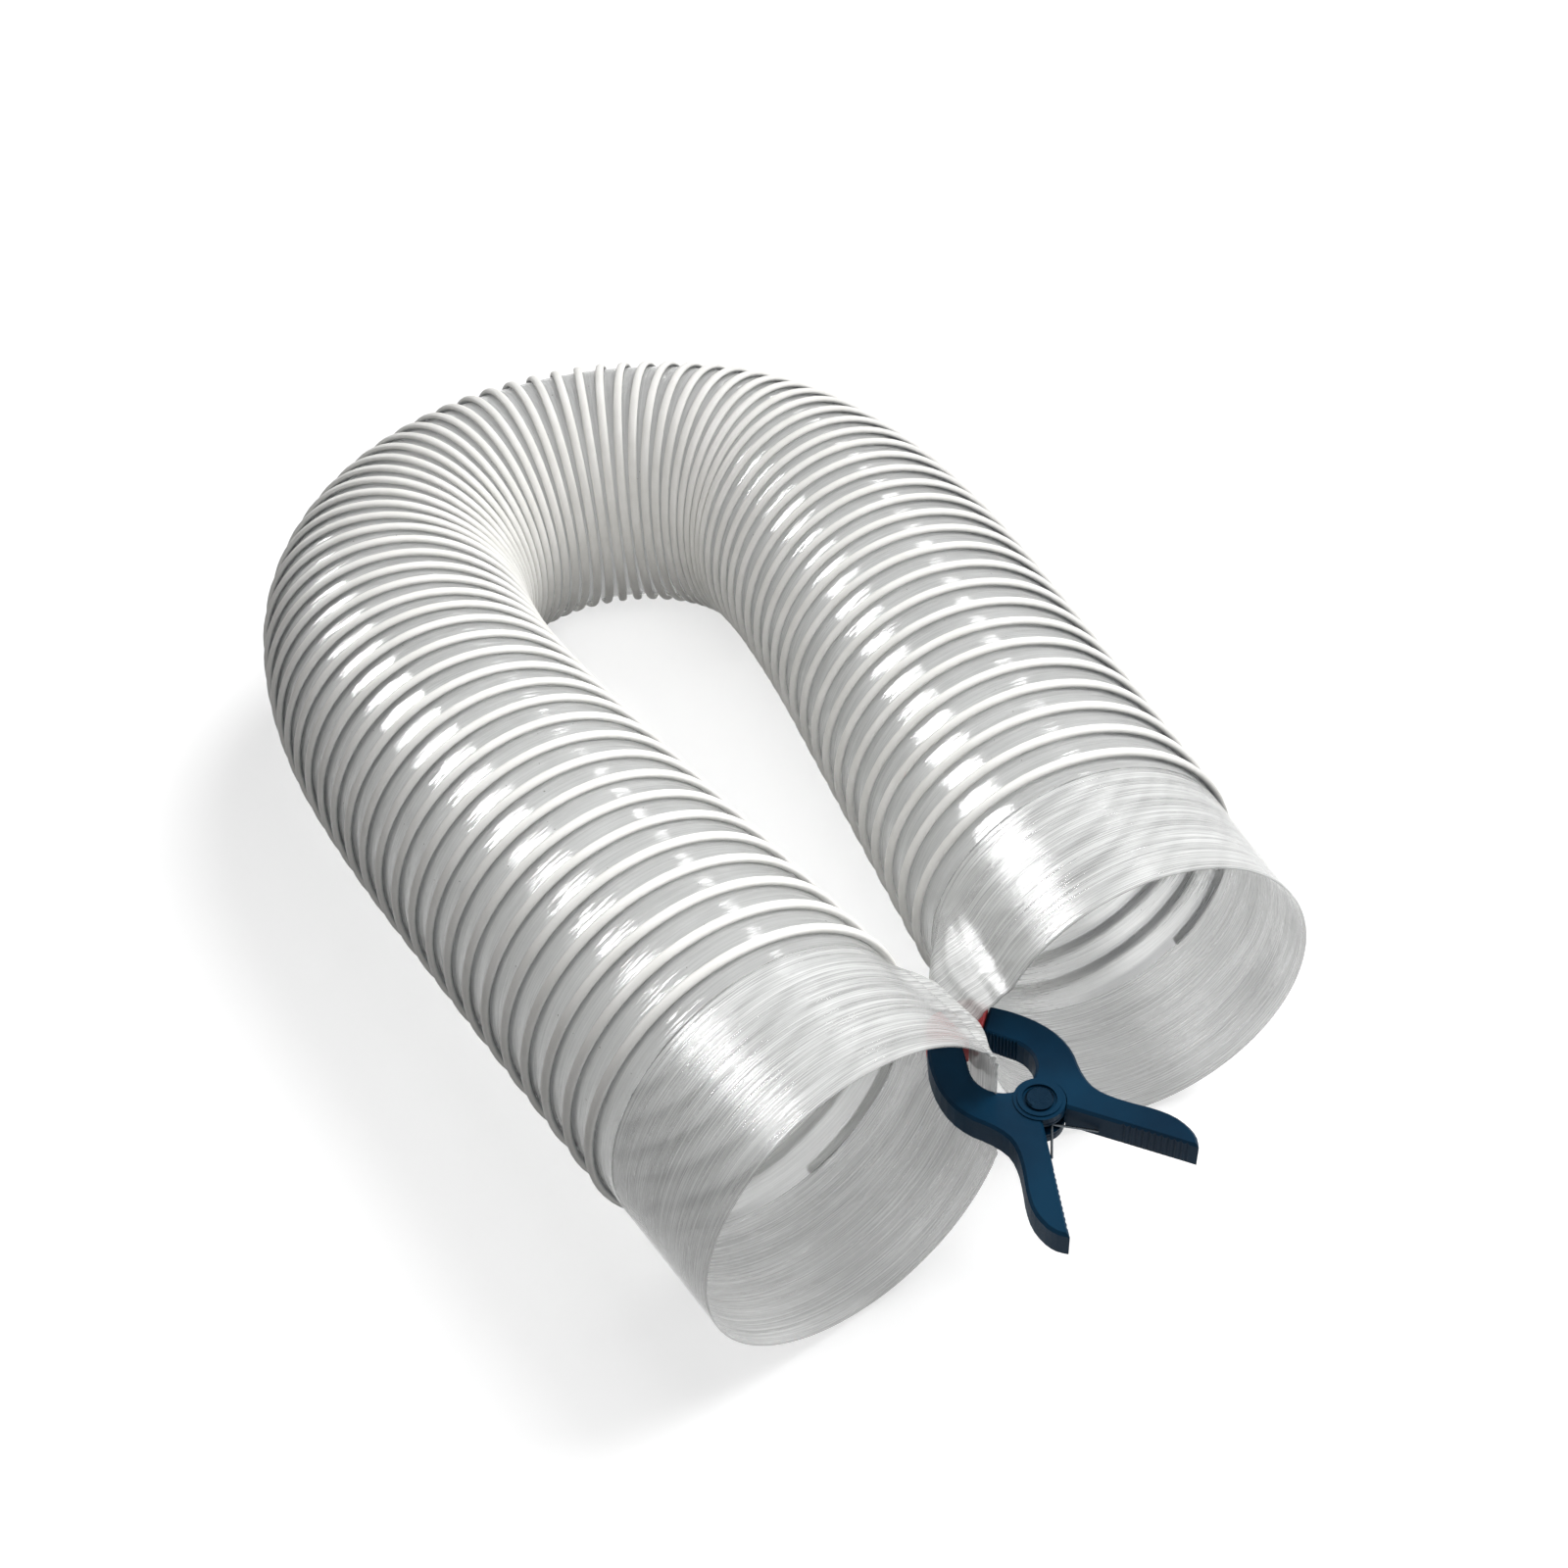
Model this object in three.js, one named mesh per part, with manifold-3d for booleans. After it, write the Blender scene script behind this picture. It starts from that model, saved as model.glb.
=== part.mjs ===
// Clear flexible air duct, bent into a U, with its two soft cuffs held together by a spring clamp.
// Millimetres, +Z up. The duct lies on the plane z = 0 and its mouths open towards -Y.
import * as THREE from 'three';
import { mergeVertices } from 'three/addons/utils/BufferGeometryUtils.js';
import Module from 'manifold-3d';

const wasm = await Module();
wasm.setup();

// ---------------------------------------------------------------- driving dimensions
// Hose
const BORE_RADIUS = 50;         // nominal 100 mm duct
const FILM_WALL = 0.8;
const RIB_HEIGHT = 2.4;         // what the white helix stands proud of the film
const RIB_BASE = 3;             // width of the helix where it meets the film
const RIB_CREST = 1.9;          // width of the helix at its crest
const FULL_PITCH = 11.94;       // from turn to turn where the film is drawn out
const LEAST_TURN_GAP = 0.5;     // between the turns where the inside of the bend closes them up
const FIT_GAP = 0.3;            // between two pieces that touch
const HOSE_FACETS = 12;         // sides of the wound part of the hose, one of them flat on the floor
const RING_STEP = 20;           // between the rings of the film on a straight or easy stretch
const BEND_RING_STEP = 10;      // the same on the tight bend

// Route of the hose's centre line, seen from above: straights and arcs that meet in tangents
const ROUTE_START = { x: -59.5, y: -205.3 };
const START_HEADING = 94.7;     // degrees from +X
const STRAIGHT_END = 139;
const EASY_RUN = 60;
const BEND_RUN = 240;
const BEND_TURN = -161;
const EXIT_RUN = 40;
const ROUTE = [
  { run: STRAIGHT_END, turn: 0 },
  { run: EASY_RUN, turn: -4 },
  { run: EASY_RUN, turn: -14 },
  { run: BEND_RUN, turn: BEND_TURN },
  { run: EXIT_RUN, turn: -11 },
  { run: EASY_RUN, turn: -7 },
  { run: STRAIGHT_END, turn: 0 },
];
const BEND_DRAW_IN = 0.28;      // share of its width that the section loses at the middle of the bend
const DRAW_IN_STATION = 397;    // where along the route that is
const DRAW_IN_SPREAD = 95;
const BEND_PIECES = 6;

// Flex zone, where the bend lifts from the floor
const FLEX_CENTRE_Y = -100;
const FLEX_LENGTH = 60;

// Cuffs
const CUFF_LENGTH = 46;
const CUFF_FACETS = 32;
const PINCH_HALF_FLAT = 10;     // half the height over which the two films lie flat together
const PINCH_HALF_HEIGHT = 34;   // half the height over which the pinch draws the film in
const PINCH_RINGS = 4;          // of the film between the hose and the jaws
const MOUTH_RINGS = 2;          // of the film between the jaws and the mouth's rim

// Spring clamp, in its own frame: u sideways, v along it towards the jaws, w up
const CLAMP_X = -1.4;
const PIVOT_Y = -255.5;
const CLAMP_RISE = 4.5;         // of its middle over the hose's centre line
const CLAMP_TURN = 4.5;         // degrees that its handles swing towards the right leg
const LEVER_WIDTH = 9;
const LEVER_CHAMFER = 0.8;
const HUB_RADIUS = 7.2;
const MIDDLE_HUB = 5.2;         // height of the moving lever's hub between the fixed lever's ears
const EAR_RING = 0.8;           // what the ring round the pin stands proud of an ear
const EAR_STEP_RADIUS = 6.1;    // inside of the ring's lower step
const EAR_RECESS_RADIUS = 4.8;
const THROAT_RADIUS = 9.3;
const THROAT_V = 15.5;
const TOOTH_COUNT = 10;         // grip teeth of a jaw
const TOOTH_DEPTH = 0.55;
const GRIP_COUNT = 11;          // finger ridges on a handle's inner face
const GRIP_DEPTH = 0.4;
const CREST_FLAT = 0.12;        // how far a cutter's crests stay clear of the face it bites into
const PAD_HEIGHT = 11;
const PAD_BEYOND = 7;           // what a pad reaches beyond its jaw's tip
const PAD_NOSE = 2.6;           // breadth of its rounded end
const PIN_RADIUS = 2;
const PIN_HEAD_RADIUS = 3.9;
const PIN_HEAD = 0.9;
const SPRING_WIRE = 0.7;
const SPRING_RADIUS = 3.5;      // of the coil, to the middle of the wire
const SPRING_TURNS = 2;         // less the part of a turn that its two legs save
const SPRING_PITCH = 1.15;
const SPRING_REACH = 17;        // from the pivot to where a leg bears on its handle
const SPRING_STEPS = 8;         // per turn
const SPRING_SIDES = 5;

// ---------------------------------------------------------------- derived sizes
const FILM_RADIUS = BORE_RADIUS + FILM_WALL;
const RIB_FOOT_RADIUS = FILM_RADIUS + FIT_GAP;
const RIB_RADIUS = RIB_FOOT_RADIUS + RIB_HEIGHT - FIT_GAP;
const HOSE_CENTRE = RIB_RADIUS;
const FACET = (2 * Math.PI) / HOSE_FACETS;
const FACET_SPREAD = 1 / Math.cos(FACET / 2);
const FIRST_ANGLE = FACET / 2 - Math.PI / 2;
const ROUTE_LENGTH = ROUTE.reduce((sum, stretch) => sum + stretch.run, 0);

const CLAMP_AT = new THREE.Vector3(CLAMP_X, PIVOT_Y, HOSE_CENTRE + CLAMP_RISE);
const CLAMP_ANGLE = THREE.MathUtils.degToRad(CLAMP_TURN);
const CLAMP_ACROSS = new THREE.Vector3(Math.cos(CLAMP_ANGLE), Math.sin(CLAMP_ANGLE), 0);
const CLAMP_ALONG = new THREE.Vector3(-Math.sin(CLAMP_ANGLE), Math.cos(CLAMP_ANGLE), 0);

// ---------------------------------------------------------------- small tools
const radians = THREE.MathUtils.degToRad;

function smooth(value, from, to) {
  return THREE.MathUtils.smoothstep(value, from, to);
}

// Closed skin over a row of rings that all have the same number of points. With loop, the last ring
// joins the first, as in a pipe whose rings run out along its outside and back along its bore.
function skin(rings, loop = false) {
  const count = rings[0].length;
  const points = rings.flat();
  const faces = [];
  const last = loop ? rings.length : rings.length - 1;
  for (let i = 0; i < last; i++) {
    const here = i * count;
    const next = ((i + 1) % rings.length) * count;
    for (let j = 0; j < count; j++) {
      const k = (j + 1) % count;
      faces.push(here + j, here + k, next + k);
      faces.push(here + j, next + k, next + j);
    }
  }
  if (!loop) {
    const end = (rings.length - 1) * count;
    for (let j = 1; j < count - 1; j++) {
      faces.push(0, j + 1, j);
      faces.push(end, end + j, end + j + 1);
    }
  }
  const geometry = new THREE.BufferGeometry();
  geometry.setAttribute('position', new THREE.Float32BufferAttribute(points.flatMap((p) => p.toArray()), 3));
  geometry.setIndex(faces);
  return facingOut(geometry);
}

// Turns every face round when the closed geometry encloses a negative volume.
function facingOut(geometry) {
  const position = geometry.attributes.position;
  const index = geometry.index.array;
  const corner = [new THREE.Vector3(), new THREE.Vector3(), new THREE.Vector3()];
  let volume = 0;
  for (let i = 0; i < index.length; i += 3) {
    corner.forEach((c, n) => c.fromBufferAttribute(position, index[i + n]));
    volume += corner[0].dot(corner[1].cross(corner[2]));
  }
  if (volume < 0) {
    for (let i = 0; i < index.length; i += 3) {
      [index[i + 1], index[i + 2]] = [index[i + 2], index[i + 1]];
    }
  }
  return geometry;
}

function toSolid(geometry) {
  const bare = geometry.clone();
  bare.deleteAttribute('normal');
  bare.deleteAttribute('uv');
  const merged = mergeVertices(bare, 1e-4);
  const mesh = new wasm.Mesh({
    numProp: 3,
    vertProperties: new Float32Array(merged.attributes.position.array),
    triVerts: new Uint32Array(merged.index.array),
  });
  return new wasm.Manifold(mesh);
}

function toGeometry(solid) {
  const mesh = solid.getMesh();
  const geometry = new THREE.BufferGeometry();
  geometry.setAttribute('position', new THREE.BufferAttribute(new Float32Array(mesh.vertProperties), 3));
  geometry.setIndex(new THREE.BufferAttribute(new Uint32Array(mesh.triVerts), 1));
  return geometry;
}

function disc(radius, from, to, sides = 32) {
  const geometry = new THREE.CylinderGeometry(radius, radius, to - from, sides);
  geometry.rotateX(Math.PI / 2);
  geometry.translate(0, 0, (from + to) / 2);
  return toSolid(geometry);
}

function block(fromU, toU, fromV, toV, height) {
  const geometry = new THREE.BoxGeometry(toU - fromU, toV - fromV, height);
  geometry.translate((fromU + toU) / 2, (fromV + toV) / 2, 0);
  return toSolid(geometry);
}

// Solid of revolution about the clamp's pivot, from [radius, height] pairs.
function revolved(profile, sides = 32) {
  const geometry = new THREE.LatheGeometry(profile.map(([r, w]) => new THREE.Vector2(r, w)), sides);
  geometry.rotateX(Math.PI / 2);
  return geometry;
}

// ---------------------------------------------------------------- route of the hose
function routeAt(station) {
  let { x, y } = ROUTE_START;
  let heading = radians(START_HEADING);
  let left = station;
  for (const [i, { run, turn }] of ROUTE.entries()) {
    const rate = radians(turn) / run;
    const here = i === ROUTE.length - 1 ? left : Math.min(left, run);
    const next = heading + rate * here;
    if (rate === 0) {
      x += here * Math.cos(heading);
      y += here * Math.sin(heading);
    } else {
      x += (Math.sin(next) - Math.sin(heading)) / rate;
      y -= (Math.cos(next) - Math.cos(heading)) / rate;
    }
    heading = next;
    left -= here;
    if (left <= 0) return { x, y, heading, curvature: -rate };
  }
  return { x, y, heading, curvature: 0 };
}

// Share of its round width that the section keeps: a tight bend draws its sides together.
function widthShare(station) {
  return 1 - BEND_DRAW_IN * Math.exp(-(((station - DRAW_IN_STATION) / DRAW_IN_SPREAD) ** 2));
}

// Point of the hose at an angle that starts at the inside of the bend and rises from there.
function hosePoint(station, angle, radius) {
  const { x, y, heading } = routeAt(station);
  const inward = radius * widthShare(station) * Math.cos(angle);
  const up = radius * Math.sin(angle);
  return new THREE.Vector3(x + inward * Math.sin(heading), y - inward * Math.cos(heading), HOSE_CENTRE + up);
}

// How much longer than the centre line a line along the hose's skin is, at an angle.
function lengthRatio(station, angle) {
  const inward = RIB_RADIUS * widthShare(station) * Math.cos(angle);
  return 1 - routeAt(station).curvature * inward;
}

// ---------------------------------------------------------------- film and helix
// The film is drawn out along the outside of the bend, so the turns keep their pitch there and close
// up on the inside, until they all but touch.
function pitchAt(station) {
  const drawnOut = FULL_PITCH / lengthRatio(station, Math.PI);
  const closedUp = (RIB_BASE + LEAST_TURN_GAP) / lengthRatio(station, 0);
  return Math.max(drawnOut, closedUp);
}

// Stations of the helix's corners, one facet further round each time.
function helixStations() {
  const stations = [RIB_BASE / 2 + FIT_GAP];
  for (;;) {
    const here = stations[stations.length - 1];
    const next = here + pitchAt(here) / HOSE_FACETS;
    if (next > ROUTE_LENGTH - RIB_BASE / 2 - FIT_GAP) return stations;
    stations.push(next);
  }
}

const HELIX = helixStations();

function helixSection(step) {
  const angle = FIRST_ANGLE + step * FACET;
  const whole = Math.floor(step);
  const station = THREE.MathUtils.lerp(HELIX[whole], HELIX[Math.min(whole + 1, HELIX.length - 1)], step - whole);
  const ratio = lengthRatio(station, angle);
  const spread = angleSpread(angle);
  const corners = [
    [-RIB_BASE / 2, RIB_FOOT_RADIUS],
    [RIB_BASE / 2, RIB_FOOT_RADIUS],
    [RIB_CREST / 2, RIB_RADIUS],
    [-RIB_CREST / 2, RIB_RADIUS],
  ];
  return corners.map(([along, radius]) => hosePoint(station + along / ratio, angle, radius * spread));
}

// Keeps a point between two corners on the straight facet that joins them.
function angleSpread(angle) {
  const offset = THREE.MathUtils.euclideanModulo(angle - FIRST_ANGLE, FACET) - FACET / 2;
  return 1 / Math.cos(offset);
}

function helixPiece(from, to) {
  const halfCut = FIT_GAP / (FACET * RIB_RADIUS);
  const first = stepAt(from) + halfCut;
  const last = stepAt(to) - halfCut;
  const steps = [first];
  for (let step = Math.ceil(first + halfCut); step < last - halfCut; step++) steps.push(step);
  steps.push(last);
  return skin(steps.map(helixSection));
}

// Helix step, with its share of a facet, at a station along the route.
function stepAt(station) {
  if (station <= HELIX[0]) return 0;
  const next = HELIX.findIndex((s) => s > station);
  if (next < 0) return HELIX.length - 1;
  return next - 1 + (station - HELIX[next - 1]) / (HELIX[next] - HELIX[next - 1]);
}

function filmRing(station, radius) {
  const ring = [];
  for (let i = 0; i < HOSE_FACETS; i++) {
    ring.push(hosePoint(station, FIRST_ANGLE + i * FACET, radius * FACET_SPREAD));
  }
  return ring;
}

function filmPiece(from, to, ringStep) {
  const start = from + FIT_GAP / 2;
  const end = to - FIT_GAP / 2;
  const curved = routeAt((start + end) / 2).curvature !== 0 || routeAt(end).curvature !== 0;
  const count = curved ? Math.ceil((end - start) / ringStep) : 1;
  const stations = Array.from({ length: count + 1 }, (_, i) => start + ((end - start) * i) / count);
  const outside = stations.map((s) => filmRing(s, FILM_RADIUS));
  const inside = stations.map((s) => filmRing(s, BORE_RADIUS)).reverse();
  return skin([...outside, ...inside], true);
}

// Least gap between two neighbouring turns, measured corner to corner on the finished points.
function leastTurnGap() {
  let least = Infinity;
  for (let step = 0; step + HOSE_FACETS < HELIX.length; step++) {
    const here = helixSection(step)[1];
    const next = helixSection(step + HOSE_FACETS)[0];
    least = Math.min(least, here.distanceTo(next));
  }
  return least;
}

// ---------------------------------------------------------------- cuffs
// side is -1 for the left cuff and +1 for the right one.
function cuffFrame(side) {
  const end = routeAt(side < 0 ? 0 : ROUTE_LENGTH);
  const out = side < 0 ? -1 : 1;
  return {
    origin: new THREE.Vector3(end.x, end.y, HOSE_CENTRE),
    outward: new THREE.Vector3(Math.cos(end.heading), Math.sin(end.heading), 0).multiplyScalar(out),
    inward: new THREE.Vector3(Math.sin(end.heading), -Math.cos(end.heading), 0),
  };
}

// The clamp draws the near sides of both cuffs to its own middle plane, where the two films lie flat
// on each other. A point moves in the plane of its ring, so that the mouth's rim stays flat.
function cuffPoint(side, frame, along, angle, radius) {
  const spread = 1 / Math.cos(Math.PI / CUFF_FACETS);
  const across = radius * spread * Math.cos(angle);
  const up = radius * spread * Math.sin(angle);
  const point = frame.origin.clone();
  point.addScaledVector(frame.outward, along);
  point.addScaledVector(frame.inward, across);
  point.z += up;
  if (across <= 0) return point;
  const film = side * (FIT_GAP / 2 + FILM_RADIUS - radius);
  const offPlane = point.clone().sub(CLAMP_AT).dot(CLAMP_ACROSS);
  const shift = (film - offPlane) / frame.inward.dot(CLAMP_ACROSS);
  const drawn = smooth(along, 0, pinchReach(frame));
  const level = 1 - smooth(Math.abs(up - CLAMP_RISE), PINCH_HALF_FLAT, PINCH_HALF_HEIGHT);
  return point.addScaledVector(frame.inward, shift * drawn * level);
}

// Along the cuff, from the hose to the end of the jaws' pads, where the films meet.
function pinchReach(frame) {
  const padEnd = CLAMP_AT.clone().addScaledVector(CLAMP_ALONG, PAD_END_V + FIT_GAP);
  const nearSide = frame.origin.clone().addScaledVector(frame.inward, FILM_RADIUS);
  return padEnd.sub(nearSide).dot(frame.outward);
}

function cuffRing(side, frame, along, radius) {
  return Array.from({ length: CUFF_FACETS }, (_, i) =>
    cuffPoint(side, frame, along, (2 * Math.PI * i) / CUFF_FACETS, radius));
}

function cuff(side) {
  const frame = cuffFrame(side);
  const start = FIT_GAP / 2;
  const reach = pinchReach(frame);
  const places = [];
  for (let i = 0; i < PINCH_RINGS; i++) places.push(start + ((reach - start) * i) / PINCH_RINGS);
  for (let i = 0; i <= MOUTH_RINGS; i++) places.push(reach + ((CUFF_LENGTH - reach) * i) / MOUTH_RINGS);
  const outside = places.map((p) => cuffRing(side, frame, p, FILM_RADIUS));
  const inside = places.map((p) => cuffRing(side, frame, p, BORE_RADIUS)).reverse();
  return skin([...outside, ...inside], true);
}

// ---------------------------------------------------------------- spring clamp
const TOOTH_FROM = new THREE.Vector2(3.8, 28.4);
const TIP_OUTER = new THREE.Vector2(11.6, 34.4);
const HANDLE_ROOT = new THREE.Vector2(4.2, -6.2);
const HANDLE_TIP = new THREE.Vector2(22.8, -37.4);
const THROAT_FROM = radians(20);
const THROAT_TO = radians(-88);
const THROAT_STEPS = 9;
const TOOTH_TO = new THREE.Vector2(Math.cos(THROAT_FROM), Math.sin(THROAT_FROM))
  .multiplyScalar(THROAT_RADIUS)
  .add(new THREE.Vector2(0, THROAT_V));
const GRIP_FROM = HANDLE_ROOT.clone().lerp(HANDLE_TIP, 0.4);
const GRIP_TO = HANDLE_ROOT.clone().lerp(HANDLE_TIP, 0.95);
const PAD_END_V = TIP_OUTER.y + PAD_BEYOND;

// Back of a lever, from the tip of its handle to the tip of its jaw, as one smooth line.
const LEVER_BACK = [
  [24.8, -34.6], [25.6, -30.8], [25, -25.8], [22.6, -20.6], [19, -15], [16.2, -9.8], [14.9, -4.6],
  [16.2, 1.4], [18.8, 7.4], [19.8, 14], [18.6, 21.4], [15.4, 28.8],
].map(([u, v]) => new THREE.Vector2(u, v));

// Side view of one lever: jaw, throat, hub side, handle and back.
function leverOutline(side) {
  const shape = new THREE.Shape();
  shape.moveTo(TOOTH_FROM.x, TOOTH_FROM.y);
  shape.lineTo(TOOTH_TO.x, TOOTH_TO.y);
  for (let i = 1; i <= THROAT_STEPS; i++) {
    const angle = THREE.MathUtils.lerp(THROAT_FROM, THROAT_TO, i / THROAT_STEPS);
    shape.lineTo(THROAT_RADIUS * Math.cos(angle), THROAT_V + THROAT_RADIUS * Math.sin(angle));
  }
  shape.lineTo(FIT_GAP, 0);
  shape.lineTo(HANDLE_ROOT.x, HANDLE_ROOT.y);
  shape.lineTo(HANDLE_TIP.x, HANDLE_TIP.y);
  shape.splineThru([...LEVER_BACK, TIP_OUTER]);
  const points = shape.getPoints(2).map((p) => new THREE.Vector2(side * p.x, p.y));
  return new THREE.Shape(points);
}

function slab(shape, height, chamfer) {
  const geometry = new THREE.ExtrudeGeometry(shape, {
    depth: height - 2 * chamfer,
    bevelEnabled: chamfer > 0,
    bevelThickness: chamfer,
    bevelSize: chamfer,
    bevelOffset: -chamfer,
    bevelSegments: 1,
    curveSegments: 6,
  });
  geometry.translate(0, 0, -(height - 2 * chamfer) / 2);
  return geometry;
}

// Saw-tooth strip that bites a row of teeth out of a lever's inner face, between two of its points.
function toothCutter(side, from, to, count, depth) {
  const out = new THREE.Vector2(to.y - from.y, from.x - to.x).normalize();
  const points = [];
  for (let i = 0; i <= 2 * count; i++) {
    const p = from.clone().lerp(to, (i + 0.5) / (2 * count + 1));
    points.push(p.addScaledVector(out, i % 2 === 0 ? CREST_FLAT : -depth));
  }
  points.push(to.clone().addScaledVector(out, 2 * depth), from.clone().addScaledVector(out, 2 * depth));
  const shape = new THREE.Shape(points.map((p) => new THREE.Vector2(side * p.x, p.y)));
  return toSolid(slab(shape, 2 * LEVER_WIDTH, 0));
}

function leverBody(side) {
  return toSolid(slab(leverOutline(side), LEVER_WIDTH, LEVER_CHAMFER))
    .subtract(toothCutter(side, TOOTH_FROM, TOOTH_TO, TOOTH_COUNT, TOOTH_DEPTH))
    .subtract(toothCutter(side, GRIP_FROM, GRIP_TO, GRIP_COUNT, GRIP_DEPTH));
}

function ear(face) {
  const inner = PIN_RADIUS + FIT_GAP;
  const from = MIDDLE_HUB / 2 + FIT_GAP;
  const top = LEVER_WIDTH / 2;
  const profile = [
    [inner, from],
    [HUB_RADIUS, from],
    [HUB_RADIUS, top + EAR_RING / 2],
    [EAR_STEP_RADIUS, top + EAR_RING / 2],
    [EAR_STEP_RADIUS, top + EAR_RING],
    [EAR_RECESS_RADIUS, top + EAR_RING],
    [EAR_RECESS_RADIUS, top],
    [inner, top],
    [inner, from],
  ];
  const geometry = revolved(profile);
  if (face < 0) geometry.rotateX(Math.PI);
  return toSolid(geometry);
}

// The fixed lever carries the pin in two ears, above and below the other lever's hub.
function fixedLever() {
  const half = MIDDLE_HUB / 2 + FIT_GAP;
  return toGeometry(
    leverBody(-1)
      .subtract(disc(HUB_RADIUS + FIT_GAP, -half, half))
      .subtract(disc(HUB_RADIUS - FIT_GAP, -LEVER_WIDTH, LEVER_WIDTH))
      .add(ear(1))
      .add(ear(-1)),
  );
}

function springRoom() {
  const height = SPRING_TURNS * SPRING_PITCH + 2 * SPRING_WIRE;
  const radius = SPRING_RADIUS + SPRING_WIRE + FIT_GAP;
  const beyond = -HUB_RADIUS - SPRING_WIRE;
  const way = block(beyond, HANDLE_ROOT.x - FIT_GAP, beyond, -SPRING_WIRE, height);
  return disc(radius, -height / 2, height / 2).add(way);
}

function movingLever() {
  const half = MIDDLE_HUB / 2;
  return toGeometry(
    leverBody(1)
      .subtract(disc(HUB_RADIUS + FIT_GAP, half, LEVER_WIDTH))
      .subtract(disc(HUB_RADIUS + FIT_GAP, -LEVER_WIDTH, -half))
      .add(disc(HUB_RADIUS, -half, half))
      .subtract(disc(PIN_RADIUS + FIT_GAP, -LEVER_WIDTH, LEVER_WIDTH))
      .subtract(springRoom()),
  );
}

// Soft tip of a jaw, seated on the jaw's end and flat towards the film.
function pad(side) {
  const face = FIT_GAP / 2 + FILM_WALL + FIT_GAP;
  const seat = new THREE.Vector2().subVectors(TIP_OUTER, TOOTH_FROM).normalize();
  const lift = new THREE.Vector2(-seat.y, seat.x).multiplyScalar(FIT_GAP);
  const inner = TOOTH_FROM.clone().add(lift);
  const outer = TIP_OUTER.clone().add(lift).addScaledVector(seat, -LEVER_CHAMFER);
  const shape = new THREE.Shape();
  shape.moveTo(side * face, inner.y - lift.length());
  shape.lineTo(side * face, PAD_END_V - PAD_NOSE / 2);
  shape.quadraticCurveTo(side * face, PAD_END_V, side * (face + PAD_NOSE), PAD_END_V);
  shape.quadraticCurveTo(side * (outer.x - PAD_NOSE / 2), PAD_END_V - PAD_NOSE / 2, side * outer.x, outer.y);
  shape.lineTo(side * inner.x, inner.y);
  return slab(shape, PAD_HEIGHT, LEVER_CHAMFER / 2);
}

function pin() {
  const seat = LEVER_WIDTH / 2 + FIT_GAP;
  return revolved([
    [0, -seat - PIN_HEAD],
    [PIN_RADIUS, -seat - PIN_HEAD],
    [PIN_RADIUS, seat],
    [PIN_HEAD_RADIUS, seat],
    [PIN_HEAD_RADIUS, seat + PIN_HEAD / 2],
    [PIN_HEAD_RADIUS - PIN_HEAD / 2, seat + PIN_HEAD],
    [0, seat + PIN_HEAD],
  ], 24);
}

// Pressed ring that keeps the pin in the lower ear.
function pinRing() {
  const seat = -LEVER_WIDTH / 2 - FIT_GAP;
  const inner = PIN_RADIUS + FIT_GAP;
  return revolved([
    [inner, seat],
    [inner, seat - PIN_HEAD],
    [PIN_HEAD_RADIUS, seat - PIN_HEAD],
    [PIN_HEAD_RADIUS, seat],
    [inner, seat],
  ], 24);
}

// Torsion spring round the pin: a leg against one handle, its turns, and a leg against the other.
function torsionSpring() {
  const alongHandle = new THREE.Vector2().subVectors(HANDLE_TIP, HANDLE_ROOT).normalize();
  const offFace = new THREE.Vector2(alongHandle.y, -alongHandle.x).multiplyScalar(SPRING_WIRE / 2 + FIT_GAP);
  const bearing = HANDLE_ROOT.clone().addScaledVector(alongHandle, SPRING_REACH - HANDLE_ROOT.length()).add(offFace);
  const toBearing = Math.atan2(bearing.y, bearing.x);
  const touch = toBearing - Math.acos(SPRING_RADIUS / bearing.length());
  const sweepAngle = 2 * Math.PI * SPRING_TURNS + 2 * touch + Math.PI;
  const steps = Math.round((SPRING_STEPS * sweepAngle) / (2 * Math.PI));
  const rise = (SPRING_PITCH * sweepAngle) / (2 * Math.PI);
  const path = [new THREE.Vector3(bearing.x, bearing.y, -rise / 2)];
  for (let i = 0; i <= steps; i++) {
    const angle = touch - (sweepAngle * i) / steps;
    const height = rise * (i / steps - 0.5);
    path.push(new THREE.Vector3(SPRING_RADIUS * Math.cos(angle), SPRING_RADIUS * Math.sin(angle), height));
  }
  path.push(new THREE.Vector3(-bearing.x, bearing.y, rise / 2));
  return wire(path, SPRING_WIRE / 2, SPRING_SIDES);
}

// Round wire along a path that stays close to level.
function wire(path, radius, sides) {
  const rings = path.map((here, i) => {
    const before = path[Math.max(i - 1, 0)];
    const after = path[Math.min(i + 1, path.length - 1)];
    const along = new THREE.Vector3().subVectors(after, before).normalize();
    const across = new THREE.Vector3(along.y, -along.x, 0).normalize();
    const up = new THREE.Vector3().crossVectors(across, along);
    return Array.from({ length: sides }, (_, n) => {
      const angle = (2 * Math.PI * n) / sides;
      return here
        .clone()
        .addScaledVector(across, radius * Math.cos(angle))
        .addScaledVector(up, radius * Math.sin(angle));
    });
  });
  return skin(rings);
}

// ---------------------------------------------------------------- assembly
const finish = {
  film: { color: 0xc9cac6, roughness: 0.25, metalness: 0, transparent: true, opacity: 0.45 },
  rib: { color: 0xeeede8, roughness: 0.4, metalness: 0 },
  lever: { color: 0x14304a, roughness: 0.4, metalness: 0 },
  pad: { color: 0xb5474a, roughness: 0.6, metalness: 0 },
  steel: { color: 0x8d9297, roughness: 0.3, metalness: 1 },
};

function named(name, geometry, look) {
  const mesh = new THREE.Mesh(geometry, new THREE.MeshStandardMaterial(finish[look]));
  mesh.name = name;
  return mesh;
}

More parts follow.
